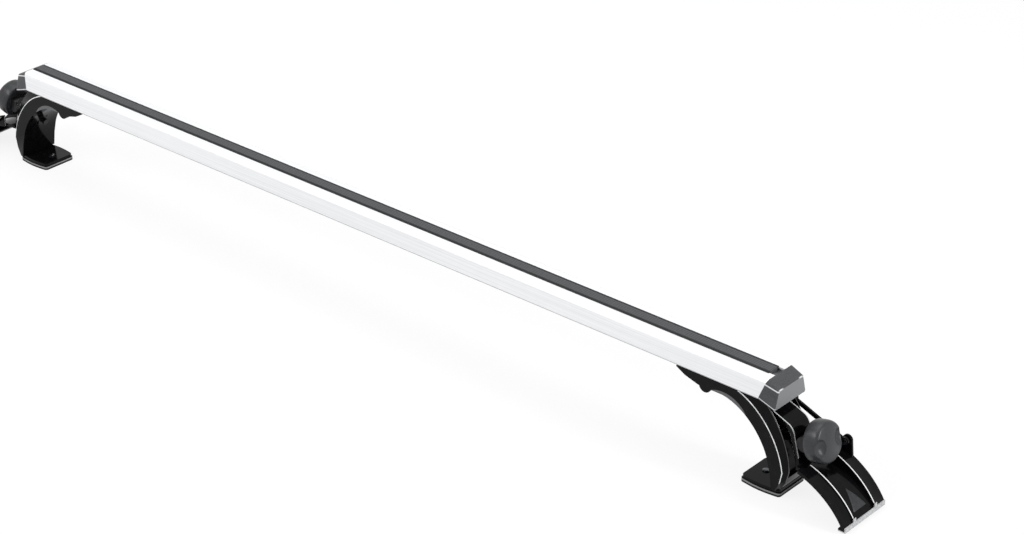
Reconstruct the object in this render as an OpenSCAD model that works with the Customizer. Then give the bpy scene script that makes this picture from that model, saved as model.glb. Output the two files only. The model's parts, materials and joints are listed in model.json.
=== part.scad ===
// Roof rack crossbar: a hollow aluminium bar on two feet, each with a hinged door-frame clamp.
// X runs along the bar, Y across it, Z up. The origin is on the ground, midway between the feet.
// Each foot module is drawn for the +X end, and the -X end is its mirror image.

/* [Bar] */
// Length of the bar along its underside
bar_l = 1200; // [1000:10:1400]
// Width of the bar across its underside
bar_w = 56; // [52:1:64]
// Height of the bar section
bar_h = 24; // [22:1:30]
// Width across the shoulders of the bar
bar_top_w = 47; // [45:1:50]
// Radius of the top shoulders
shoulder_r = 6; // [4:0.5:7]
// Wall thickness of the extrusion
wall = 2; // [1.6:0.1:2.2]
// Width of the upper slot's mouth
slot_mouth = 17; // [15:0.5:19]
// Width of the channel inside the upper slot
slot_w = 25; // [23:0.5:27]
// Depth of the channel under the upper slot's lips
slot_d = 5; // [4:0.5:6]
// Width of the lower slot's mouth
rail_mouth = 11; // [10:0.5:13]
// Width of the channel inside the lower slot
rail_w = 21; // [20:0.5:23]
// Depth of the channel above the lower slot's lips
rail_d = 5.5; // [5:0.5:6]
// Angle by which the bar's ends lean outwards at the top
end_rake = 18; // [10:1:22]

/* [End caps] */
// Length of a cap past the bar, along its underside
cap_l = 23; // [16:1:30]
// Depth of a cap's plugs inside the bar
plug_l = 18; // [10:1:24]
// Clearance round each plug
plug_gap = 0.12; // [0.1:0.01:0.2]

/* [Rubber strip] */
// Height of the strip's crown above the bar
crown_h = 1; // [0.6:0.1:2]
// Number of grooves along the crown
groove_n = 5; // [3:1:6]
// Distance from the strip's right end to the joint with the cap
strip_back = 8; // [4:1:12]

/* [Foot] */
// Height of the bar's underside above the ground
stand_h = 112; // [108:1:124]
// Width of the leg across the bar
leg_w = 54; // [50:1:60]
// Thickness of a leg's two cheeks
cheek_t = 7; // [6:0.5:9]
// Thickness of the flange under the bar
flange_t = 6; // [5:0.5:8]
// Length of the flange from its tip to the bar's end
flange_l = 109; // [100:1:120]
// Length of the sole along the bar
sole_l = 50; // [46:1:54]
// Thickness of the sole
sole_t = 4; // [3:0.5:5]
// Thickness of the rubber pad
pad_t = 4.5; // [4:0.5:6]
// Rim of the pad past the sole
pad_rim = 1; // [0.5:0.1:1.5]

/* [Clamp] */
// Overhang of the clamp plate past the leg, on each side
plate_over = 10; // [9:0.5:13]
// Thickness of the clamp plate
plate_t = 4; // [3:0.5:4.5]
// Width of the sunk channel along the middle of the plate
channel_w = 36; // [34:1:38]
// Width of the strap up to the hinge
strap_w = 30; // [24:1:32]
// Thickness of the seat wall that the bolt goes through
seat_t = 5; // [4:0.5:6]
// Diameter of the hinge pin
pin_d = 8; // [6:0.5:9]

/* [Knob and bolt] */
// Diameter of the knob
knob_d = 48; // [44:1:49]
// Thickness of the knob
knob_t = 21; // [18:0.5:23]
// Angle of the bolt above the horizontal
bolt_tilt = 15; // [12:1:18]
// Diameter of the clamp bolt
bolt_d = 8; // [6:0.5:9]
// Running clearance of a shaft in its hole
run_gap = 0.1; // [0.08:0.01:0.1]
// Gap between pieces that move past each other
part_gap = 0.3; // [0.25:0.05:0.4]

/* [Hidden] */
$fn = 64;

// Places along X are measured from the bar's end and places in Z from the bar's underside,
// inside the module at_foot(), so every outline below reads as offsets from that corner.
bar_end = bar_l / 2;
cap_rise = tan(end_rake);
cap_fall = 0.275;
// Outline steps on a round stretch
arc_n = 8;
steps = 14;

// Flange and leg outlines, side view
skirt_z = -13;
bump_r = 8;
bump_x = -0.64 * flange_l;
bolt_a = -0.66 * flange_l;
bolt_b = -0.36 * flange_l;
sole_out = 31;
sole_in = sole_out - sole_l;
sole_z = -(stand_h - pad_t);
sole_top = sole_z + sole_t;
// How much taller the leg is than one on a bar 112 mm up
leg_k = sole_top / -103.5;
cheek_in = leg_w / 2 - cheek_t;

// Hinge pin and bolt axis
pin_x = 6;
pin_z = -20;
eye_r = pin_d / 2 + 4;
seat_x = 43.2;
seat_z = -44;
pin_bore_r = pin_d / 2 + run_gap / 2;
bolt_bore_r = bolt_d / 2 + run_gap / 2;
washer_r = 9;
washer_out = 14.4;
web_s = -36.1;
nut_af = 13;
nut_t = 6.5;
knob_s = washer_out + run_gap;
bolt_head_t = 5.3;
bolt_tip_s = -43;
seat_slot = 17;

// Clamp outline, side view
tip_x = 125;
tip_z = -104;
hook_d = 4;
hook_l = 8;
liner_t = 1.3;
clamp_w = leg_w + 2 * plate_over;
ear_x = 76;
ear_z = -47;
ear_r = 6;
ear_t = 2.5;
ear_in = clamp_w / 2 - 1.5 - ear_t;
link_t = 2.5;
link_h = 5;
link_y = leg_w / 2 + 1;
rivet_d = 4;
wall_t = 3;
bead_h = 1.2;

// A point on a cubic curve, and the curve as a list of points
function cubic(a, b, c, d, t) =
    pow(1 - t, 3) * a + 3 * t * pow(1 - t, 2) * b + 3 * t * t * (1 - t) * c + t * t * t * d;
function curve(a, b, c, d, n = steps) = [for (i = [0 : n]) cubic(a, b, c, d, i / n)];
function backwards(list) = [for (i = [len(list) - 1 : -1 : 0]) list[i]];
function unit(v) = v / norm(v);
// A line of points moved sideways by d, to its right as it is walked
function beside(list, d) = [for (i = [0 : len(list) - 1])
    let (u = unit(list[min(i + 1, len(list) - 1)] - list[max(i - 1, 0)]))
    list[i] + d * [u[1], -u[0]]];
// Points of a round corner of radius r about c, from angle a to angle b
function corner(c, r, a, b) = [for (i = [0 : arc_n]) let (t = a + (b - a) * i / arc_n)
    c + r * [cos(t), sin(t)]];

// A section like the bar's: half widths at foot and shoulders, height, and the corners' radii
function shoulders(foot, top, h, r, q) = concat(
    corner([foot - q, q], q, -90, 0),
    corner([top - r, h - r], r, 12, 90),
    corner([r - top, h - r], r, 90, 168),
    corner([q - foot, q], q, 180, 270));
function bar_outline() = shoulders(bar_w / 2, bar_top_w / 2 + 1, bar_h, shoulder_r, 2.5);

// Puts a foot drawn at the bar's corner to the +X end, or mirrors it to the -X end
module at_foot(side) {
    mirror([side < 0 ? 1 : 0, 0, 0]) translate([bar_end, 0, stand_h]) children();
}

// Extrudes a side-view outline (X across the page, Z up it) to a width about a middle plane
module side_plate(width, mid = 0) {
    translate([0, mid + width / 2, 0]) rotate([90, 0, 0]) linear_extrude(width) children();
}

// A closed skin through rings of equally many points, with a flat face on the first and last
module skin(rings) {
    n = len(rings[0]);
    last = (len(rings) - 1) * n;
    polyhedron(
        points = [for (ring = rings) each ring],
        faces = concat(
            [[for (i = [0 : n - 1]) i]],
            [[for (i = [n - 1 : -1 : 0]) last + i]],
            [for (k = [0 : len(rings) - 2], i = [0 : n - 1]) let (j = (i + 1) % n)
                [k * n + i, (k + 1) * n + i, (k + 1) * n + j]],
            [for (k = [0 : len(rings) - 2], i = [0 : n - 1]) let (j = (i + 1) % n)
                [k * n + i, (k + 1) * n + j, k * n + j]]));
}

// Turns +Z to the bolt's axis, with its origin on the seat wall's outer face
module on_bolt_axis() {
    translate([seat_x, 0, seat_z]) rotate([0, 90 - bolt_tilt, 0]) children();
}

// Bar

// The bar's section: outer wall, upper and lower slots, two side chambers and one in the middle
module bar_section() {
    lip = wall;
    floor_z = bar_h - lip - slot_d;
    side_in = slot_w / 2 + wall;
    mid_lo = lip + rail_d + wall;
    mid_hi = floor_z - wall;
    difference() {
        polygon(bar_outline());
        translate([-slot_mouth / 2, floor_z + 1]) square([slot_mouth, bar_h]);
        translate([-slot_w / 2, floor_z]) square([slot_w, slot_d]);
        translate([-rail_mouth / 2, -1]) square([rail_mouth, lip + 2]);
        translate([-rail_w / 2, lip]) square([rail_w, rail_d]);
        for (s = [-1, 1]) chamber(s, side_in, 0);
        translate([-rail_w / 2, mid_lo]) square([rail_w, mid_hi - mid_lo]);
    }
}

// One side chamber of the bar, or the plug that fills it with a gap all round
module chamber(s, inner, gap) {
    lean = (bar_w - bar_top_w) / 2 / bar_h;
    lo = wall + gap;
    hi = bar_h - wall - gap;
    edge = bar_w / 2 - wall - gap - 0.6;
    polygon([
        [s * (inner + gap), lo],
        [s * (edge - lean * lo), lo],
        [s * (edge - lean * (hi - shoulder_r)), hi - shoulder_r + 1],
        [s * (edge - lean * hi - shoulder_r * 0.55), hi],
        [s * (inner + gap), hi]]);
}

// Extrudes a bar section along X between two places
module along_bar(from, to) {
    translate([from, 0, 0]) rotate([90, 0, 90]) linear_extrude(to - from) children();
}

// A block that covers everything past a cap's joint plane at the +X end
module past_joint(gap = 0) {
    reach = 120;
    translate([gap, 0, 0]) rotate([0, end_rake, 0])
        translate([0, -reach / 2, -reach]) cube([reach, reach, 2 * reach]);
}

module crossbar() color([0.86, 0.87, 0.88]) translate([0, 0, stand_h]) difference() {
    along_bar(-bar_end - bar_h, bar_end + bar_h) bar_section();
    for (side = [-1, 1])
        mirror([side < 0 ? 1 : 0, 0, 0]) translate([bar_end, 0, 0]) past_joint();
}

// Rubber infill: a base that hooks under the lips, a neck in the mouth and a grooved crown
module top_strip() color([0.27, 0.27, 0.28]) translate([0, 0, stand_h]) {
    gap = 0.1;
    neck = slot_mouth / 2 - gap;
    base = slot_w / 2 - 1;
    base_t = 2.2;
    lip_z = bar_h - wall - gap;
    top = bar_h + crown_h;
    left = -bar_end - (lip_z - base_t) * cap_rise + 0.2;
    right = bar_end + bar_h * cap_rise - strip_back;
    pitch = 2 * neck / (groove_n + 1);
    along_bar(left, right) difference() {
        polygon([
            [-base, lip_z - base_t], [base, lip_z - base_t], [base, lip_z - 0.4], [base - 0.6, lip_z],
            [neck, lip_z], [neck, top - 0.7], [neck - 1.2, top],
            [1.2 - neck, top], [-neck, top - 0.7], [-neck, lip_z],
            [0.6 - base, lip_z], [-base, lip_z - 0.4]]);
        for (i = [1 : groove_n]) translate([-neck + i * pitch - 0.4, top - 0.5]) square([0.8, 2]);
    }
}

// Drooping cap that narrows to a flat end, with two plugs that fill the bar's side chambers
module end_cap(side) color([0.29, 0.29, 0.30]) at_foot(side) {
    droop = cap_l * cap_fall;
    end_h = bar_h - 0.7;
    edge = 1;
    difference() {
        skin([
            [for (q = bar_outline()) [q[1] * cap_rise, q[0], q[1]]],
            [for (q = shoulders(bar_w / 2, bar_top_w / 2 - 0.5, end_h, 2.4, 2)) [cap_l - edge, q[0],
                q[1] - droop]],
            [for (q = shoulders(bar_w / 2 - edge, bar_top_w / 2 - 0.5 - edge, end_h - 2 * edge, 2, 1.6))
                [cap_l, q[0], q[1] - droop + edge]]]);
        // the throat that leaves the upper slot open behind the strip's end
        translate([-1, -slot_mouth / 2, bar_h - wall - slot_d]) rotate([0, end_rake, 0])
            cube([3, slot_mouth, slot_d * 3]);
    }
    difference() {
        along_bar(-plug_l, bar_h)
            for (s = [-1, 1]) chamber(s, slot_w / 2 + wall, plug_gap);
        past_joint(0.01);
    }
}

// Foot

// A point of the leg, which stretches with the height of the bar
function leg(x, z) = [x, z * leg_k];

// Underside of the flange and arch, from the flange's tip down to the sole
function arch_line() = concat(
    [[-flange_l, -1.5], [-flange_l + 12, -8], [-flange_l + 30, skirt_z], [-0.43 * flange_l, skirt_z]],
    curve([-0.42 * flange_l, skirt_z], leg(-17, -17), leg(6, -42), leg(15, -66)),
    [leg(20, -84), [23, sole_top]]);

// Flat top of the flange, with a point above each of the first four of the arch line
function flange_top() = [for (i = [0 : 3]) [arch_line()[i][0], 0]];

// Outer edge of the leg, from the flange's tip past the bar's end and down to the sole
function outer_line() = concat(
    flange_top(),
    curve([-0.5, 0], leg(22, -13), leg(42, -55), leg(41, -78)),
    [leg(38, -91), [sole_out, sole_top]]);

// The same edge on the leg's side faces, set back to leave a wide bevel
function side_line() = concat(
    flange_top(),
    curve([-26, 0], leg(4, -10), leg(30, -42), leg(36, -78)),
    [leg(33.5, -91), [sole_out - 3.5, sole_top]]);

// Outer part of a cheek: flat on the inside at y = from, bevelled on its outer edge towards y = to
module bevelled_cheek(from, to) {
    arch = arch_line();
    outer = outer_line();
    side = side_line();
    skin([for (i = [0 : len(arch) - 1]) [
        [arch[i][0], to, arch[i][1]], [side[i][0], to, side[i][1]],
        [outer[i][0], from, outer[i][1]], [arch[i][0], from, arch[i][1]]]]);
}

// Front of the web between the cheeks, from the trough's roof down to its floor
function web_line() = concat(
    [[-6, -9]], curve(leg(-6, -22), leg(4, -40), leg(25, -52), leg(32, -86)));

module foot_bracket(side) color([0.07, 0.07, 0.08]) at_foot(side) {
    flat = cheek_in + 1.2;
    difference() {
        union() {
            side_plate(2 * flat) polygon(concat(arch_line(), backwards(outer_line())));
            for (s = [0, 1]) mirror([0, s, 0]) bevelled_cheek(flat, leg_w / 2);
            sole();
            // the two round bumps under the flange
            for (s = [-1, 1]) translate([bump_x, s * (leg_w / 2 - cheek_t / 2), skirt_z + 2])
                rotate([90, 0, 0]) cylinder(h = cheek_t, r = bump_r, center = true);
        }
        // hollow under the flange, between the skirts
        side_plate(2 * cheek_in) polygon([
            [-flange_l + 8, -40], [-flange_l + 8, -flange_t], [-24, -flange_t], [-20, -10], [-30, -40]]);
        // trough that the strap and the bolt lie in, open outwards
        side_plate(2 * cheek_in) polygon(concat(web_line(), [leg(60, -86), [60, -9]]));
        // bore of the hinge pin: through the rear cheek and blind in the front one
        translate([pin_x, 0, pin_z]) rotate([90, 0, 0])
            translate([0, 0, -leg_w]) cylinder(h = leg_w + leg_w / 2 - 2.5, r = pin_bore_r);
        // bolt hole and nut pocket through the web
        on_bolt_axis() translate([0, 0, -70]) cylinder(h = 60, r = bolt_d / 2 + 0.3);
        on_bolt_axis() translate([-nut_af / 2, -nut_af / 2, web_s - 12])
            cube([nut_af, nut_af, 12 + nut_t]);
        // holes of the slot bolts and the pad screw
        for (x = [bolt_a, bolt_b]) translate([x, 0, -20]) cylinder(h = 30, r = bolt_d / 2 + 0.25);
        translate([(sole_in + 16), 0, sole_z - 1]) cylinder(h = sole_t + 2, r = 2.5);
    }
}

// Outline of the sole with two bowed long edges
function sole_outline(grow = 0) =
    let (a = sole_in - grow, b = sole_out + grow, w = leg_w / 2 - 2 + grow, bow = 2, r = 4)
    concat(
        corner([b - r, -w + bow + r], r, 0, -80),
        [for (i = [1 : 5]) let (t = i / 6) [b - r + (a - b + 2 * r) * t, -w + bow - bow * sin(180 * t)]],
        corner([a + r, -w + bow + r], r, -100, -180),
        corner([a + r, w - bow - r], r, 180, 100),
        [for (i = [1 : 5]) let (t = i / 6) [a + r + (b - a - 2 * r) * t, w - bow + bow * sin(180 * t)]],
        corner([b - r, w - bow - r], r, 80, 0));

module sole() translate([0, 0, sole_z]) linear_extrude(sole_t) polygon(sole_outline());

module foot_pad(side) color([0.2, 0.2, 0.21]) at_foot(side) difference() {
    translate([0, 0, -stand_h]) linear_extrude(pad_t) polygon(sole_outline(pad_rim));
    translate([sole_in + 16, 0, -stand_h - 1]) cylinder(h = pad_t + 2, r = 1.6);
}

module pad_screw(side) color([0.6, 0.6, 0.62]) at_foot(side) translate([sole_in + 16, 0, 0]) {
    translate([0, 0, sole_z - pad_t + 1.5]) cylinder(h = sole_t + pad_t - 1.5, r = 1.6);
    translate([0, 0, sole_top]) cylinder(h = 1.2, r = 4);
    translate([0, 0, sole_top + 1.2]) cylinder(h = 0.8, r1 = 4, r2 = 2.6, $fn = 64);
}

// Two bolts that hang the foot on the bar's lower slot: a head under the flange and a shank
module slot_bolts(side) color([0.7, 0.71, 0.73]) at_foot(side)
    for (x = [bolt_a, bolt_b]) translate([x, 0, 0]) difference() {
        union() {
            translate([0, 0, -flange_t - 5]) cylinder(h = 5, r = 6.5);
            translate([0, 0, -flange_t]) cylinder(h = flange_t + wall + 4.5, r = bolt_d / 2);
        }
        translate([0, 0, -flange_t - 6]) cylinder(h = 4, r = 3.2, $fn = 6);
    }

// Sliding nuts inside the lower slot
module slot_nuts(side) color([0.6, 0.61, 0.63]) at_foot(side)
    for (x = [bolt_a, bolt_b]) translate([x, 0, wall]) difference() {
        union() {
            translate([-9, -rail_w / 2 + part_gap, 0]) cube([18, rail_w - 2 * part_gap, rail_d - part_gap]);
            translate([-9, -rail_mouth / 2 + part_gap, -wall + part_gap])
                cube([18, rail_mouth - 2 * part_gap, wall]);
        }
        translate([0, 0, -5]) cylinder(h = 20, r = bolt_bore_r);
    }

// Clamp

// Outer face of the arched plate, from its inner end to the tip, and of the sunk channel
function arch_top() = curve([48, -55], [83, -60], [111, -80], [tip_x, tip_z]);
function channel_top() = curve([47, -68.6], [83, -68], [107, -84], [tip_x - 1, tip_z]);
// An arched plate of that outer face, with the hook at its tip
function hooked(top, t) = concat(top,
    [[tip_x, tip_z - hook_d], [tip_x - hook_l, tip_z - hook_d], [tip_x - hook_l, tip_z - hook_d + 2],
        [tip_x - t, tip_z - hook_d + 2.5]],
    backwards([for (i = [0 : len(top) - 2]) beside(top, t)[i]]));

// Strap from the hinge eye over a round corner to the seat wall, and down to the channel's floor
function strap_outer() = concat(
    [[pin_x + 3, pin_z + eye_r - 0.6], [14, -16], [22, -19]],
    curve([33, -23.5], [38, -26], [40.4, -32], seat_at(8), 8), [seat_at(-29)]);
function strap_inner() = concat(
    curve([30, -28.5], [35, -31], [35.7, -35], seat_at(4) - seat_t * seat_out, 8),
    [seat_at(-29) - seat_t * seat_out]);
seat_out = [cos(bolt_tilt), sin(bolt_tilt)];
// A point on the seat wall's outer face, that far above the bolt
function seat_at(up) = [seat_x, seat_z] + up * [-sin(bolt_tilt), cos(bolt_tilt)];

module clamp_plate(side) color([0.06, 0.06, 0.07]) at_foot(side) {
    band = (clamp_w - channel_w) / 2;
    difference() {
        union() {
            // side bands
            for (s = [-1, 1]) side_plate(band, s * (channel_w + band) / 2)
                polygon(hooked(arch_top(), plate_t));
            // channel walls
            for (s = [-1, 1]) side_plate(wall_t, s * (channel_w + wall_t) / 2)
                polygon(concat(arch_top(), [[tip_x, tip_z - 2]], backwards(beside(channel_top(), plate_t))));
            // channel floor
            side_plate(channel_w) polygon(hooked(channel_top(), plate_t));
            // strap, corner and seat wall
            side_plate(strap_w) polygon(concat(
                strap_outer(), backwards(strap_inner()), [[20, -25.5], [pin_x + 2, pin_z - eye_r + 2.6]]));
            translate([pin_x, 0, pin_z]) rotate([90, 0, 0])
                cylinder(h = strap_w, r = eye_r, center = true);
            // a bead along each of the channel's edges
            for (s = [-1, 1]) side_plate(wall_t, s * (channel_w + wall_t) / 2)
                polygon(concat(beside(arch_top(), -bead_h), backwards(beside(arch_top(), 1))));
            // ear on the rear edge
            side_plate(ear_t, ear_in + ear_t / 2) {
                translate([ear_x, ear_z]) circle(r = ear_r);
                polygon([[ear_x - ear_r, ear_z], [ear_x - ear_r - 2, ear_z - 14],
                    [ear_x + ear_r + 2, ear_z - 20], [ear_x + ear_r, ear_z]]);
            }
        }
        // cut back the bands' inner corners, clear of the knob
        for (s = [-1, 1]) translate([0, 0, -90]) linear_extrude(70)
            polygon([[30, s * 60], [30, s * (channel_w / 2)], [66, s * (channel_w / 2)],
                [66, s * (channel_w / 2 + 7)], [62, s * (channel_w / 2 + 12)], [62, s * 60]]);
        // saw the beads off flush with the hook's face
        translate([tip_x, -clamp_w, tip_z]) cube([20, 2 * clamp_w, 20]);
        // eye bore and slotted bolt hole
        translate([pin_x, 0, pin_z]) rotate([90, 0, 0])
            cylinder(h = clamp_w + 2, r = pin_bore_r, center = true);
        on_bolt_axis() translate([0, 0, -30]) linear_extrude(40) {
            circle(r = bolt_d / 2 + 0.6);
            translate([0, -bolt_d / 2 - 0.6]) square([seat_slot - bolt_d, bolt_d + 1.2]);
            translate([seat_slot - bolt_d, 0]) circle(r = bolt_d / 2 + 0.6);
        }
        // rivet hole in the ear
        translate([ear_x, 0, ear_z]) rotate([90, 0, 0])
            translate([0, 0, -clamp_w]) cylinder(h = clamp_w, r = rivet_d / 2 + 0.01);
    }
}

// Light lip round the hook, with a small tab that laps over each bead's end
module tip_liner(side) color([0.62, 0.62, 0.62]) at_foot(side) {
    gap = 0.02;
    out = tip_x + gap;
    low = tip_z - hook_d - gap;
    side_plate(clamp_w) polygon([
        [out, tip_z + 0.5], [out, low], [tip_x - hook_l, low], [tip_x - hook_l, low - liner_t],
        [out + liner_t, low - liner_t], [out + liner_t, tip_z + 0.5]]);
    for (s = [-1, 1]) side_plate(wall_t + 1.5, s * (channel_w + wall_t) / 2)
        polygon([[out, tip_z + 0.5], [out + liner_t, tip_z + 0.5], [out + 0.9, tip_z + 5],
            [out + 0.3, tip_z + 5]]);
}

module hinge_pin(side) color([0.65, 0.66, 0.68]) at_foot(side)
    translate([pin_x, 0, pin_z]) rotate([90, 0, 0]) {
        translate([0, 0, -link_y - link_t - 1.8])
            cylinder(h = link_y + link_t + 1.8 + leg_w / 2 - 2.8, r = pin_d / 2);
        translate([0, 0, -link_y - link_t - 1.8]) cylinder(h = 1.5, r = pin_d / 2 + 1.5);
    }

// Flat link on the rear side, from the hinge pin to the plate's ear
module side_link(side) color([0.08, 0.08, 0.09]) at_foot(side) {
    run = [ear_x - pin_x, ear_z - pin_z];
    side_plate(link_t, link_y + link_t / 2) difference() {
        union() {
            translate([pin_x, pin_z]) circle(r = pin_d / 2 + 2.5);
            translate([ear_x, ear_z]) circle(r = rivet_d / 2 + 2.5);
            translate([pin_x, pin_z]) rotate(atan2(run[1], run[0]))
                translate([0, -link_h / 2]) square([norm(run), link_h]);
        }
        translate([pin_x, pin_z]) circle(r = pin_bore_r);
        translate([ear_x, ear_z]) circle(r = rivet_d / 2 + 0.01);
    }
}

module link_rivet(side) color([0.5, 0.5, 0.52]) at_foot(side)
    translate([ear_x, 0, ear_z]) rotate([90, 0, 0]) {
        translate([0, 0, -clamp_w / 2]) cylinder(h = 1.5, r = rivet_d / 2 + 1.8);
        translate([0, 0, -clamp_w / 2]) cylinder(h = clamp_w / 2 - link_y, r = rivet_d / 2);
        translate([0, 0, -link_y]) cylinder(h = 1.2, r = rivet_d / 2 + 1.5);
    }

// Half-round washer that lets the seat wall tilt under the knob
module rocker_washer(side) color([0.66, 0.67, 0.69]) at_foot(side) on_bolt_axis() difference() {
    translate([0, 0, washer_r + part_gap]) rotate([90, 0, 0])
        cylinder(h = strap_w - 2, r = washer_r, center = true);
    translate([-20, -20, washer_out]) cube([40, 40, 40]);
    translate([0, 0, -10]) cylinder(h = 40, r = bolt_bore_r);
}

// Drum-shaped knob with a grip bar between two finger hollows, and a socket for the bolt's head
module knob(side) color([0.3, 0.3, 0.31]) at_foot(side) on_bolt_axis()
    translate([0, 0, knob_s]) difference() {
        rim = knob_d / 2;
        rotate_extrude() polygon(concat(
            [[0, 0], [rim - 2.5, 0], [rim - 1, 1.2]],
            curve([rim, 4], [rim + 0.2, knob_t - 8], [rim + 0.3, knob_t - 2.2], [rim - 3.5, knob_t - 1.2], 8),
            [[0, knob_t]]));
        for (s = [-1, 1]) translate([0, s * 19, knob_t + 8]) sphere(r = 14, $fn = 48);
        translate([0, 0, -1]) cylinder(h = knob_t - 6, r = bolt_d / 2);
        translate([0, 0, 3]) cylinder(h = bolt_head_t, r = 6.5 / cos(30), $fn = 6);
    }

module clamp_bolt(side) color([0.72, 0.73, 0.75]) at_foot(side) on_bolt_axis() {
    head_s = knob_s + 3;
    translate([0, 0, bolt_tip_s]) cylinder(h = head_s - bolt_tip_s + 1, r = bolt_d / 2);
    translate([0, 0, head_s]) cylinder(h = bolt_head_t, r = 6.5 / cos(30), $fn = 6);
}

module captive_nut(side) color([0.6, 0.61, 0.63]) at_foot(side) on_bolt_axis() difference() {
    translate([-nut_af / 2, -nut_af / 2, web_s]) cube([nut_af, nut_af, nut_t]);
    translate([0, 0, web_s - 1]) cylinder(h = nut_t + 2, r = bolt_bore_r);
}

crossbar();
top_strip();
end_cap(1);  // right_end_cap
end_cap(-1);  // left_end_cap
foot_bracket(1);  // right_foot_bracket
foot_bracket(-1);  // left_foot_bracket
foot_pad(1);  // right_foot_pad
foot_pad(-1);  // left_foot_pad
pad_screw(1);  // right_pad_screw
pad_screw(-1);  // left_pad_screw
slot_bolts(1);  // right_slot_bolts
slot_bolts(-1);  // left_slot_bolts
slot_nuts(1);  // right_slot_nuts
slot_nuts(-1);  // left_slot_nuts
clamp_plate(1);  // right_clamp_plate
clamp_plate(-1);  // left_clamp_plate
tip_liner(1);  // right_tip_liner
tip_liner(-1);  // left_tip_liner
hinge_pin(1);  // right_hinge_pin
hinge_pin(-1);  // left_hinge_pin
side_link(1);  // right_side_link
side_link(-1);  // left_side_link
link_rivet(1);  // right_link_rivet
link_rivet(-1);  // left_link_rivet
rocker_washer(1);  // right_rocker_washer
rocker_washer(-1);  // left_rocker_washer
knob(1);  // right_knob
knob(-1);  // left_knob
clamp_bolt(1);  // right_clamp_bolt
clamp_bolt(-1);  // left_clamp_bolt
captive_nut(1);  // right_captive_nut
captive_nut(-1);  // left_captive_nut
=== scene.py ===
"""Looks, light and camera for a roof rack crossbar, in metres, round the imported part.

X runs along the bar, Y across it, Z up, with the ground at Z = 0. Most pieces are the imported
solids with their cast or moulded edges rounded off.
"""
import json
import math

import bmesh
import bpy
import numpy as np
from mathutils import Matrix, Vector


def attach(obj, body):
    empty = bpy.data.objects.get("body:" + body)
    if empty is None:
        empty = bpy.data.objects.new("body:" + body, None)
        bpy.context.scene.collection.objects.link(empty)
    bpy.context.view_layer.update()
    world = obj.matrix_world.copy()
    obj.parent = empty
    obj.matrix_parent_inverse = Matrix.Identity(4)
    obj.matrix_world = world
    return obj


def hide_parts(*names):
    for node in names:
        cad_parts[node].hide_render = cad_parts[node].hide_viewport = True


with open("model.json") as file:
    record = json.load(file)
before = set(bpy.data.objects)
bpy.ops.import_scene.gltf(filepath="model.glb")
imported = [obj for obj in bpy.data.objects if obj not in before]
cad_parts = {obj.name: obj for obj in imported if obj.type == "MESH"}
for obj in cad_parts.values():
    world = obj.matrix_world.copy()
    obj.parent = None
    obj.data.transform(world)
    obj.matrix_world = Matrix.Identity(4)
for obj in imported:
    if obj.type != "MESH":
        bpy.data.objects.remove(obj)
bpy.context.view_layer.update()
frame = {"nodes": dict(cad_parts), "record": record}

MM = 0.001
SIDES = ("right", "left")

# Camera fitted to the photo: its place in metres, its turn from the bar's side and its tip down in
# degrees, and its lens
CAMERA_AT = (1.9302, -1.9390, 1.5082)
CAMERA_HEADING = 41.22
CAMERA_DIP = 28.14
LENS_MM = 89.95

# The bar's flat top, in mm, and where the rubber strip ends along it
BAR_TOP = 136.0
STRIP_FROM, STRIP_TO = -606.0, 599.8
# Half the width of the strip's grey tread, in mm; beyond it the strip and its lips are black,
# painted shadow for the gaps along the slot
TREAD_HALF_WIDTH = 6.4


def linear(code):
    """sRGB hex code as linear RGBA: c / 12.92 below 0.04045, else ((c + 0.055) / 1.055) ^ 2.4."""
    srgb = np.array([int(code[i:i + 2], 16) for i in (0, 2, 4)]) / 255
    rgb = np.where(srgb <= 0.04045, srgb / 12.92, ((srgb + 0.055) / 1.055) ** 2.4)
    return (*rgb.tolist(), 1.0)


def node(tree, kind, settings=None, **links):
    """Adds a shader node; settings are its properties or socket values, links join its inputs."""
    made = tree.nodes.new(kind)
    for name, value in (settings or {}).items():
        if hasattr(made, name):
            setattr(made, name, value)
        else:
            made.inputs[name].default_value = value
    for name, source in links.items():
        tree.links.new(source, made.inputs[name.replace("_", " ")])
    return made


def new_material(name):
    """An empty material with a shader and its output; returns the material, tree and shader."""
    mat = bpy.data.materials.new(name)
    mat.use_nodes = True
    tree = mat.node_tree
    shader = next(n for n in tree.nodes if n.type == "BSDF_PRINCIPLED")
    return mat, tree, shader


def grain(tree, shader, size_mm, depth_mm, strength=1.0):
    """Fine bumps on a surface: noise of the given grain size in Object space."""
    place = node(tree, "ShaderNodeTexCoord")
    noise = node(tree, "ShaderNodeTexNoise", {"Scale": 1 / (size_mm * MM), "Detail": 2.0},
                 Vector=place.outputs["Object"])
    bump = node(tree, "ShaderNodeBump", {"Strength": strength, "Distance": depth_mm * MM},
                Height=noise.outputs["Fac"])
    tree.links.new(bump.outputs["Normal"], shader.inputs["Normal"])


def mottle(tree, shader, dark, light, size_mm, stretch=(1, 1, 1), detail=3.0):
    """Colour drifting between two tones: noise of the given size in Object space, longer along
    an axis whose stretch is above 1. Returns the noise, for a gloss that drifts with it."""
    place = node(tree, "ShaderNodeTexCoord")
    scaled = node(tree, "ShaderNodeMapping", {"Scale": tuple(1 / k for k in stretch)},
                  Vector=place.outputs["Object"])
    noise = node(tree, "ShaderNodeTexNoise", {"Scale": 1 / (size_mm * MM), "Detail": detail},
                 Vector=scaled.outputs["Vector"])
    spread = node(tree, "ShaderNodeMapRange", {"From Min": 0.3, "From Max": 0.7},
                  Value=noise.outputs["Fac"])
    mix = node(tree, "ShaderNodeMix", {"data_type": "RGBA"})
    mix.inputs[6].default_value = linear(dark)
    mix.inputs[7].default_value = linear(light)
    tree.links.new(spread.outputs["Result"], mix.inputs[0])
    tree.links.new(mix.outputs[2], shader.inputs["Base Color"])
    return noise


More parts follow.
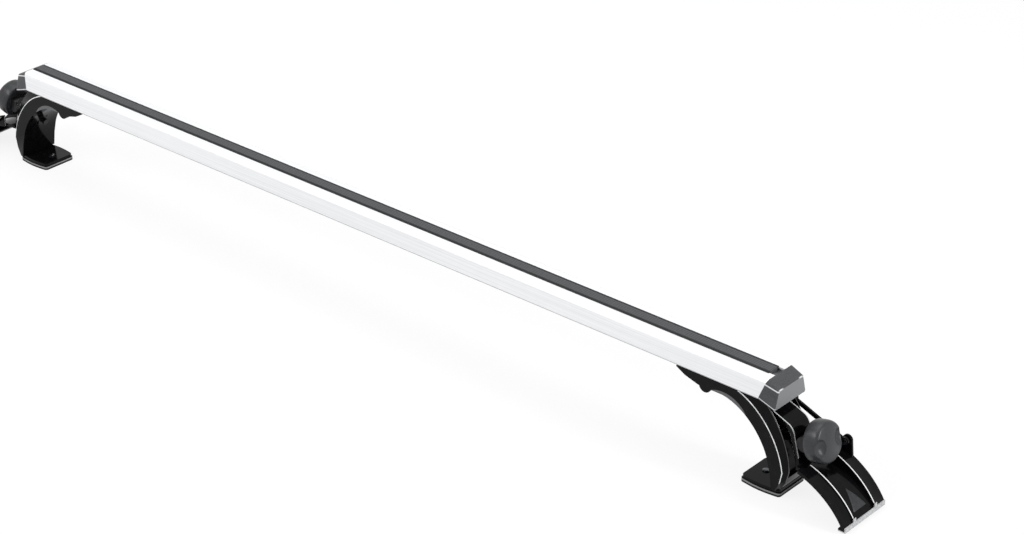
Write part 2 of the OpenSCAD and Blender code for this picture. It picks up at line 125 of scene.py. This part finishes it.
def vary_gloss(tree, shader, noise, low, high):
    """Roughness drifting between two values with a noise, like handling marks."""
    spread = node(tree, "ShaderNodeMapRange",
                  {"From Min": 0.35, "From Max": 0.65, "To Min": low, "To Max": high},
                  Value=noise.outputs["Fac"])
    tree.links.new(spread.outputs["Result"], shader.inputs["Roughness"])


def folded(tree):
    """The place in Object space without its signs, so that a mask made from it is the same on both
    sides of the bar and on both feet."""
    place = node(tree, "ShaderNodeTexCoord")
    size = node(tree, "ShaderNodeVectorMath", {"operation": "ABSOLUTE"})
    tree.links.new(place.outputs["Object"], size.inputs[0])
    return size.outputs["Vector"]


def falling(tree, value, limit_mm, edge_mm):
    """A ramp that is 1 where a length lies under a limit and 0 where it lies over it, with a soft
    edge on both sides of the limit."""
    ramp = node(tree, "ShaderNodeMapRange",
                {"From Min": (limit_mm - edge_mm) * MM, "From Max": (limit_mm + edge_mm) * MM,
                 "To Min": 1.0, "To Max": 0.0}, Value=value)
    return ramp.outputs["Result"]


def between(tree, axis, start_mm, end_mm, edge_mm=0.2):
    """A mask that is 1 between two distances from the middle plane of an Object axis and 0 beyond
    them: the smaller of two ramps, each as wide as the soft edge on both sides of its plane."""
    split = node(tree, "ShaderNodeSeparateXYZ", Vector=folded(tree))
    value = split.outputs["XYZ".index(axis)]
    rise = node(tree, "ShaderNodeMapRange",
                {"From Min": (start_mm - edge_mm) * MM, "From Max": (start_mm + edge_mm) * MM},
                Value=value)
    least = node(tree, "ShaderNodeMath", {"operation": "MINIMUM"})
    tree.links.new(rise.outputs["Result"], least.inputs[0])
    tree.links.new(falling(tree, value, end_mm, edge_mm), least.inputs[1])
    return least.outputs[0]


def sloping(tree, slope, start_mm, end_mm, edge_mm=0.15):
    """A mask that is 1 between two planes that fall towards the bar's ends: z + slope * |x| lies
    between the start and the end, so its distance from their middle is under half their gap."""
    split = node(tree, "ShaderNodeSeparateXYZ", Vector=folded(tree))
    level = node(tree, "ShaderNodeMath", {"operation": "MULTIPLY_ADD"})
    tree.links.new(split.outputs["X"], level.inputs[0])
    level.inputs[1].default_value = slope
    tree.links.new(split.outputs["Z"], level.inputs[2])
    off = node(tree, "ShaderNodeMath", {"operation": "SUBTRACT"})
    tree.links.new(level.outputs[0], off.inputs[0])
    off.inputs[1].default_value = (start_mm + end_mm) / 2 * MM
    far = node(tree, "ShaderNodeMath", {"operation": "ABSOLUTE"})
    tree.links.new(off.outputs[0], far.inputs[0])
    return falling(tree, far.outputs[0], (end_mm - start_mm) / 2, edge_mm)


def within(tree, x_mm, z_mm, radius_mm, edge_mm=0.3):
    """A mask that is 1 inside a cylinder across the bar, the same on both feet: the distance of
    (|x|, z) from its axis is below the radius."""
    flat = node(tree, "ShaderNodeVectorMath", {"operation": "MULTIPLY"})
    tree.links.new(folded(tree), flat.inputs[0])
    flat.inputs[1].default_value = (1, 0, 1)
    far = node(tree, "ShaderNodeVectorMath", {"operation": "DISTANCE"})
    tree.links.new(flat.outputs["Vector"], far.inputs[0])
    far.inputs[1].default_value = (x_mm * MM, 0, z_mm * MM)
    return falling(tree, far.outputs["Value"], radius_mm, edge_mm)


def facing(tree, direction, least):
    """A mask that is 1 where the surface faces along a direction of Object space, to either side:
    the size of the dot product of the normal and the direction, above a least value."""
    place = node(tree, "ShaderNodeTexCoord")
    dot = node(tree, "ShaderNodeVectorMath", {"operation": "DOT_PRODUCT"})
    tree.links.new(place.outputs["Normal"], dot.inputs[0])
    dot.inputs[1].default_value = direction
    size = node(tree, "ShaderNodeMath", {"operation": "ABSOLUTE"})
    tree.links.new(dot.outputs["Value"], size.inputs[0])
    above = node(tree, "ShaderNodeMapRange", {"From Min": least, "From Max": least + 0.05},
                 Value=size.outputs[0])
    return above.outputs["Result"]


def both(tree, *masks):
    """Where every mask is 1: their product."""
    product = masks[0]
    for mask in masks[1:]:
        times = node(tree, "ShaderNodeMath", {"operation": "MULTIPLY"})
        tree.links.new(product, times.inputs[0])
        tree.links.new(mask, times.inputs[1])
        product = times.outputs[0]
    return product


def overlay(tree, shader, mask, code):
    """Lays a second colour over whatever feeds the shader's colour, where a mask is 1."""
    mix = node(tree, "ShaderNodeMix", {"data_type": "RGBA"})
    mix.inputs[6].default_value = shader.inputs["Base Color"].default_value
    if shader.inputs["Base Color"].is_linked:
        tree.links.new(shader.inputs["Base Color"].links[0].from_socket, mix.inputs[6])
    mix.inputs[7].default_value = linear(code)
    tree.links.new(mask, mix.inputs[0])
    tree.links.new(mix.outputs[2], shader.inputs["Base Color"])


def plain(name, code, roughness, metallic=0.0, specular=0.5):
    """A material of one colour, the ground that the textures are laid on."""
    mat, tree, shader = new_material(name)
    shader.inputs["Base Color"].default_value = linear(code)
    shader.inputs["Roughness"].default_value = roughness
    shader.inputs["Metallic"].default_value = metallic
    shader.inputs["Specular IOR Level"].default_value = specular
    return mat, tree, shader


# Anodised aluminium extrusion: pale satin metal, with faint die lines that run along the bar
anodised, tree, shader = plain("anodised_aluminium", "E4E5E7", 0.4, metallic=0.3)
noise = mottle(tree, shader, "DCDDE0", "ECEDEE", 0.8, stretch=(400, 1, 1))
vary_gloss(tree, shader, noise, 0.34, 0.48)
# painted shade: a duller grey on the chamfer along its lower edge, which shows as one thin line
overlay(tree, shader, between(tree, "Z", 100, 114.2), "AFB0B2")
# EPDM rubber, extruded: dark grey and matte in its middle, with black along both edges and on the
# two lips as painted shadow for the gaps along the slot
epdm, tree, shader = plain("epdm_strip", "0C0C0D", 0.62, specular=0.3)
overlay(tree, shader, between(tree, "Y", -1, TREAD_HALF_WIDTH), "4E4F51")
grain(tree, shader, 0.5, 0.03)
# Polypropylene, moulded with a fine spark texture: dark grey with a soft sheen
moulded, tree, shader = plain("moulded_polypropylene", "434446", 0.42, specular=0.3)
mottle(tree, shader, "38393B", "464749", 1.6)
# its flat end face painted paler, as painted light where the lamp from the right falls on it
lit_end_face = both(tree, between(tree, "X", 620, 630), facing(tree, (1, 0, 0), 0.9))
overlay(tree, shader, lit_end_face, "747577")
# its arrises painted pale as highlights: along the shoulder, along the foot of the side and at the
# end's corners
for arris_highlight in (both(tree, sloping(tree, 0.265, 291.1, 292.5), between(tree, "Y", 21, 25)),
              both(tree, sloping(tree, 0.322, 307.8, 308.7), between(tree, "Y", 26.5, 29)),
              both(tree, between(tree, "X", 622.2, 623.4), between(tree, "Z", 127.3, 130),
                   between(tree, "Y", 15, 21, edge_mm=2.0))):
    overlay(tree, shader, arris_highlight, "CFD0D1")
grain(tree, shader, 0.5, 0.05)
# Glass-filled nylon of the knob: darker, with a soft satin sheen and fine flecks
nylon, tree, shader = plain("glass_filled_nylon", "2E2F31", 0.32, specular=0.3)
noise = mottle(tree, shader, "2B2C2E", "333436", 1.4)
vary_gloss(tree, shader, noise, 0.3, 0.38)


def black_lacquer(name):
    """Lacquer over a black casting: deep black, mirror-smooth, with slight orange peel."""
    mat, tree, shader = plain(name, "0A0A0B", 0.12, specular=0.09)
    mottle(tree, shader, "070708", "0E0E10", 6.0)
    grain(tree, shader, 2.5, 0.02)
    return mat, tree, shader


lacquer, tree, shader = black_lacquer("black_lacquered_casting")
# painted reflection: grey in a leaf-shaped patch on its side, where the arch runs into the flange
leaf_reflection = both(tree, within(tree, 554.5, 65.2, 37.6), between(tree, "X", 538.5, 586),
            between(tree, "Z", 86, 104), between(tree, "Y", 20, 28), facing(tree, (0, 1, 0), 0.5))
overlay(tree, shader, leaf_reflection, "5E5F61")
# The clamp's two beads, with painted highlights along their crests
clamp_lacquer, tree, shader = black_lacquer("black_lacquered_clamp")
crest_highlight = both(tree, between(tree, "Y", 18.8, 20.1), between(tree, "X", 666, 724),
             between(tree, "Z", 9, 56), facing(tree, (0.76, 0, 0.65), 0.5))
overlay(tree, shader, crest_highlight, "E6E7E8")
# and painted highlights along the arrises of its strap, up to the hinge
arris_highlight = both(tree, between(tree, "Y", 13.7, 15.3), between(tree, "X", 600, 652),
             between(tree, "Z", 52, 98), facing(tree, (0.94, 0, 0.34), 0.3))
overlay(tree, shader, arris_highlight, "D2D3D5")
# The dart pressed into the clamp's floor, whose flanks spread the light: satin black, painted paler
# than the clamp's lacquer as a painted sheen
dart_sheen_finish, tree, shader = plain("dart_painted_sheen", "252628", 0.36, specular=0.3)
mottle(tree, shader, "1F2022", "2C2D2F", 3.0)
grain(tree, shader, 1.0, 0.02)
# Painted highlights on the casting's ridges, in a finish of their own: bright along the outer
# edge of the leg, dull along its front edge
ridge, tree, shader = plain("painted_highlight_ridge", "E6E7E8", 0.2, metallic=0.2)
mottle(tree, shader, "C4C5C6", "F4F5F6", 9.0)
overlay(tree, shader, between(tree, "Y", 15.5, 23), "505153")
# Natural rubber pad: matte black foot with a paler band round its side above it
pad_rubber, tree, shader = plain("rubber_pad", "161617", 0.7, specular=0.3)
overlay(tree, shader, between(tree, "Z", 2.4, 4.2), "8A8B8C")
# Zinc-plated steel: pale grey metal with a faint blotchy passivation
zinc, tree, shader = plain("zinc_plated_steel", "C4C6C9", 0.3, metallic=1.0)
noise = mottle(tree, shader, "B4B6BA", "D2D3D4", 2.5)
vary_gloss(tree, shader, noise, 0.24, 0.4)
# Blackened steel of the clamp's pin, bolt, nut and washer: dark and oily, with a dull sheen
black_oxide, tree, shader = plain("black_oxide_steel", "1A1A1C", 0.38, metallic=0.6)
mottle(tree, shader, "141416", "242427", 2.0)
# Dark zinc on the rivet and on the pad's screw, which shows as one small bright spot
dark_zinc, tree, shader = plain("dark_zinc_screw", "55565A", 0.25, metallic=1.0)
mottle(tree, shader, "4A4B4F", "66676B", 2.0)
# Thermoplastic elastomer lip on the clamp's tip: light grey, matte, dusted with paler specks
lip_rubber, tree, shader = plain("grey_elastomer_lip", "A5A6A7", 0.55)
mottle(tree, shader, "8A8B8C", "C2C3C4", 1.2)

# Finish of each material slot, and of the pieces that have one of their own
FINISH = {"bar": anodised, "strip": epdm, "cap": moulded, "gloss_black": lacquer,
          "pad": pad_rubber, "steel": zinc, "liner": lip_rubber, "knob": nylon}
OWN_FINISH = {"rocker_washer": black_oxide, "hinge_pin": black_oxide, "captive_nut": black_oxide,
              "clamp_bolt": black_oxide, "pad_screw": dark_zinc, "link_rivet": dark_zinc,
              "clamp_plate": clamp_lacquer}
SLOT_OF = {row["node"]: row["material_slot"] for row in frame["record"]["subparts"]}
BODY_OF = {name: body for body, names in frame["record"]["behaviour"]["bodies"].items()
           for name in names}

for name, obj in frame["nodes"].items():
    obj.data.materials.clear()
    obj.data.materials.append(OWN_FINISH.get(name.split("_", 1)[-1], FINISH[SLOT_OF[name]]))


def lies_between(points, low, high):
    """For each point, whether it lies inside a box given in mm, with X and Y taken as distances
    from the bar's middle."""
    place = np.abs(points)
    return np.all((place >= low) & (place <= high), axis=1)


# The leg's ridges with painted highlights, its outer edge and its front edge: a box in mm round
# both ends of each of their edges, and the range of their sharpness in degrees
LEG_RIDGES = [((573, 26.9, 20), (637, 27.1, 113), (30, 65)),
              ((599, 21.1, 20), (642, 21.3, 113), (34, 72))]
RIDGE_WIDTH = 1.2
ROUND_SEGMENTS = 3
# Folds sharper than these, in degrees, are rounded off and shaded as edges
ROUND_ABOVE = 28
SHADE_ABOVE = 40
# Corners nearer than this, in mm, are one corner, and faces this flat, in degrees, are one face
WELD_WITHIN = 0.002
FLAT_WITHIN = 1.2


def add_bevel(obj, name, width_mm, limit):
    """Adds a round to the object's edges, picked by the given limit."""
    bevel = obj.modifiers.new(name, "BEVEL")
    bevel.width = width_mm * MM
    bevel.segments = ROUND_SEGMENTS
    bevel.limit_method = limit
    return bevel


def rounded_copy(name, width_mm, ridges=()):
    """The node's solid with its edges rounded: loose triangles are merged into flat faces, the
    picked ridges get a round of their own in the finish with painted highlights, and every other
    edge sharper than the common angle gets a round of the given width in the plain one."""
    source = frame["nodes"][name]
    mesh = source.data.copy()
    mesh.name = name + "_rounded"
    bm = bmesh.new()
    bm.from_mesh(mesh)
    bmesh.ops.remove_doubles(bm, verts=bm.verts, dist=WELD_WITHIN * MM)
    bmesh.ops.dissolve_limit(bm, angle_limit=math.radians(FLAT_WITHIN), verts=bm.verts,
                             edges=bm.edges)
    weight = bm.edges.layers.float.new("bevel_weight_edge")
    folds = np.degrees([e.calc_face_angle(0.0) for e in bm.edges])
    ends = np.array([[v.co for v in e.verts] for e in bm.edges]) / MM
    highlit = np.zeros(len(folds), bool)
    for low, high, sharp in ridges:
        highlit |= (lies_between(ends[:, 0], low, high) & lies_between(ends[:, 1], low, high)
                    & (folds > sharp[0]) & (folds < sharp[1]))
    for edge, on in zip(bm.edges, highlit):
        edge[weight] = float(on)
    bm.to_mesh(mesh)
    bm.free()
    obj = bpy.data.objects.new(name + "_rounded", mesh)
    bpy.context.scene.collection.objects.link(obj)
    if highlit.any():
        mesh.materials.append(ridge)
        add_bevel(obj, "painted_highlight_ridges", RIDGE_WIDTH, "WEIGHT").material = 1
    add_bevel(obj, "round_edges", width_mm, "ANGLE").angle_limit = math.radians(ROUND_ABOVE)
    mesh.shade_smooth()
    mesh.set_sharp_from_angle(angle=math.radians(SHADE_ABOVE))
    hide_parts(name)
    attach(obj, BODY_OF[name])


for side in SIDES:
    rounded_copy(side + "_foot_bracket", 0.7, LEG_RIDGES)
    rounded_copy(side + "_clamp_plate", 0.6)
    rounded_copy(side + "_end_cap", 1.4)
    rounded_copy(side + "_knob", 0.9)


def new_piece(name, points_mm, faces, finish, sharp):
    """A piece of its own from points and faces, with its normals turned outwards, shaded smooth
    but for folds above the given angle in degrees."""
    mesh = bpy.data.meshes.new(name)
    mesh.from_pydata((points_mm * MM).tolist(), [], faces)
    bm = bmesh.new()
    bm.from_mesh(mesh)
    bmesh.ops.recalc_face_normals(bm, faces=bm.faces)
    bm.to_mesh(mesh)
    bm.free()
    mesh.materials.append(finish)
    mesh.shade_smooth()
    mesh.set_sharp_from_angle(angle=math.radians(sharp))
    obj = bpy.data.objects.new(name, mesh)
    bpy.context.scene.collection.objects.link(obj)
    return obj


# Curve of the clamp's channel floor near its tip, as x and z in mm
FLOOR_X = np.array([692.62, 697.89, 702.88, 707.60, 712.06, 716.27, 720.25])
FLOOR_Z = np.array([33.42, 30.52, 27.32, 23.87, 20.18, 16.29, 12.22])
# Fold of the dart's rim, in degrees, and how far in mm its rim and its underside lie in the floor
DART_SHADE_ABOVE = 50
DART_SUNK, DART_UNDERSIDE = 0.05, 0.4


def pressed_dart(side, apex_x, base_x, half_width, rise_mm, along=25, across=17):
    """The dart that stiffens the clamp's tip: a triangle on the curved floor with its apex up the
    slope. u runs from apex to base and v from edge to edge; x = apex + u * (base - apex),
    y = v * half width * u, and the surface stands off the floor, square to its slope, by
    rise * sqrt(1 - v ** 4) * sqrt(u) less the sunk rim. A copy that follows the floor below it
    closes the underside."""
    u, v = np.meshgrid(np.linspace(0.02, 1, along), np.linspace(-1, 1, across), indexing="ij")
    x = apex_x + u * (base_x - apex_x)
    z = np.interp(x, FLOOR_X, FLOOR_Z)
    slope = np.interp(x, (FLOOR_X[1:] + FLOOR_X[:-1]) / 2, np.diff(FLOOR_Z) / np.diff(FLOOR_X))
    run = np.hypot(slope, 1)
    sheets = []
    crown = rise_mm * np.sqrt(1 - v ** 4) * np.sqrt(u) - DART_SUNK
    for lift in (crown, np.full(u.shape, -DART_UNDERSIDE)):
        sheets.append(np.stack([x - lift * slope / run, v * half_width * u, z + lift / run],
                               axis=-1))
    points = np.concatenate([sheet.reshape(-1, 3) for sheet in sheets])
    if side == "left":
        points[:, 0] *= -1
    index = np.arange(along * across).reshape(along, across)
    cells = np.stack([index[:-1, :-1], index[1:, :-1], index[1:, 1:], index[:-1, 1:]],
                     axis=-1).reshape(-1, 4)
    rim = np.concatenate([index[0, :-1], index[:-1, -1], index[-1, :0:-1], index[:0:-1, 0]])
    after = np.roll(rim, -1)
    walls = np.column_stack([rim, after, after + index.size, rim + index.size])
    faces = np.concatenate([cells, cells[:, ::-1] + index.size, walls]).tolist()
    obj = new_piece(side + "_pressed_dart", points, faces, dart_sheen_finish, DART_SHADE_ABOVE)
    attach(obj, side + "_clamp")


for side in SIDES:
    pressed_dart(side, apex_x=699, base_x=719, half_width=11.5, rise_mm=0.7)


def strip_lips(inner_mm, outer_mm, height_mm, points=9):
    """The strip's two thin lips, which lie on the bar and hide the slot's edges; their black is
    painted shadow for the gaps along the slot. Each is a half ellipse across the bar,
    y = middle + half width * cos(a), z = top + height * sin(a) with a from 0 to 180 degrees,
    carried straight along X and closed at both ends."""
    angle = np.linspace(0, np.pi, points)
    middle, half = (inner_mm + outer_mm) / 2, (outer_mm - inner_mm) / 2
    corners, faces = [], []
    for sign in (-1, 1):
        y = sign * middle + half * np.cos(angle)
        z = BAR_TOP + height_mm * np.sin(angle)
        rows = np.concatenate([np.column_stack([np.full(points, x), y, z])
                               for x in (STRIP_FROM, STRIP_TO)])
        first = sum(map(len, corners))
        corners.append(rows)
        left, right = first + np.arange(points), first + points + np.arange(points)
        after = np.roll(np.arange(points), -1)
        faces += np.column_stack([left, right, right[after], left[after]]).tolist()
        faces += [left.tolist(), right[::-1].tolist()]
    obj = new_piece("strip_lips", np.concatenate(corners), faces, epdm, SHADE_ABOVE)
    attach(obj, "bar")


strip_lips(inner_mm=8.3, outer_mm=9.9, height_mm=0.5)


def seen_directly(tree):
    """1 for rays from the camera and for mirror and glass rays, 0 for the light's own bounces."""
    light_path = node(tree, "ShaderNodeLightPath")
    seen = light_path.outputs["Is Camera Ray"]
    for kind in ("Is Glossy Ray", "Is Transmission Ray"):
        either = node(tree, "ShaderNodeMath", {"operation": "MAXIMUM"})
        tree.links.new(seen, either.inputs[0])
        tree.links.new(light_path.outputs[kind], either.inputs[1])
        seen = either.outputs[0]
    return seen


def stage_floor():
    """A wide pale floor. It is plain white to the camera and in mirror reflections, with the
    light's own shading mixed in so that the object keeps a faint shadow."""
    mesh = bpy.data.meshes.new("floor")
    reach, white_share = 12.0, 0.85
    corners = [(-reach, -reach, 0), (reach, -reach, 0), (reach, reach, 0), (-reach, reach, 0)]
    mesh.from_pydata(corners, [], [(0, 1, 2, 3)])
    obj = bpy.data.objects.new("floor", mesh)
    bpy.context.scene.collection.objects.link(obj)
    mat, tree, shader = plain("white_floor", "F2F2F2", 0.9, specular=0.0)
    white = node(tree, "ShaderNodeEmission", {"Color": (1, 1, 1, 1), "Strength": 1.0})
    share = node(tree, "ShaderNodeMath", {"operation": "MULTIPLY"})
    tree.links.new(seen_directly(tree), share.inputs[0])
    share.inputs[1].default_value = white_share
    mix = node(tree, "ShaderNodeMixShader")
    output = next(n for n in tree.nodes if n.type == "OUTPUT_MATERIAL")
    tree.links.new(share.outputs[0], mix.inputs["Fac"])
    tree.links.new(shader.outputs[0], mix.inputs[1])
    tree.links.new(white.outputs[0], mix.inputs[2])
    tree.links.new(mix.outputs[0], output.inputs["Surface"])
    mesh.materials.append(mat)


def stage_world(ambient=0.55):
    """Even grey light from all round, white to the camera and in reflections."""
    world = bpy.data.worlds.new("studio")
    bpy.context.scene.world = world
    world.use_nodes = True
    tree = world.node_tree
    background = next(n for n in tree.nodes if n.type == "BACKGROUND")
    strength = node(tree, "ShaderNodeMapRange", {"To Min": ambient, "To Max": 1.0},
                    Value=seen_directly(tree))
    background.inputs["Color"].default_value = (1, 1, 1, 1)
    tree.links.new(strength.outputs["Result"], background.inputs["Strength"])


def soft_lamp(name, place, target, width, height, watts):
    """A rectangular area lamp that looks at a target, with its height upright."""
    lamp = bpy.data.lights.new(name, "AREA")
    lamp.shape = "RECTANGLE"
    lamp.size = width
    lamp.size_y = height
    lamp.energy = watts
    obj = bpy.data.objects.new(name, lamp)
    obj.location = place
    obj.rotation_euler = (Vector(target) - Vector(place)).to_track_quat("-Z", "Y").to_euler()
    bpy.context.scene.collection.objects.link(obj)


def photo_camera():
    """The camera fitted to the photo: upright, turned from the bar's side by its heading and tipped
    down by its dip."""
    data = bpy.data.cameras.new("photo_camera")
    data.lens = LENS_MM
    data.sensor_width = 36
    data.clip_start = 0.05
    data.clip_end = 100
    obj = bpy.data.objects.new("photo_camera", data)
    obj.location = CAMERA_AT
    heading, dip = math.radians(CAMERA_HEADING), math.radians(CAMERA_DIP)
    look = Vector((-math.sin(heading) * math.cos(dip), math.cos(heading) * math.cos(dip),
                   -math.sin(dip)))
    obj.rotation_euler = look.to_track_quat("-Z", "Y").to_euler()
    bpy.context.scene.collection.objects.link(obj)
    bpy.context.scene.camera = obj


stage_floor()
stage_world()
# A long strip from the near side for the bar's flank, a wide one overhead for its top, and an
# upright one past the right end for the cap, the knob and the clamp
soft_lamp("near_lamp", (-0.9, -1.9, 2.2), (0.4, 0, 0.1), 1.6, 0.3, 34)
soft_lamp("top_lamp", (-0.4, 0.3, 3.0), (0, 0, 0.1), 2.4, 2.4, 40)
soft_lamp("end_lamp", (2.7, 0.5, 1.2), (0.6, 0, 0.08), 0.3, 1.6, 34)
photo_camera()

bpy.context.scene.view_settings.view_transform = "Standard"
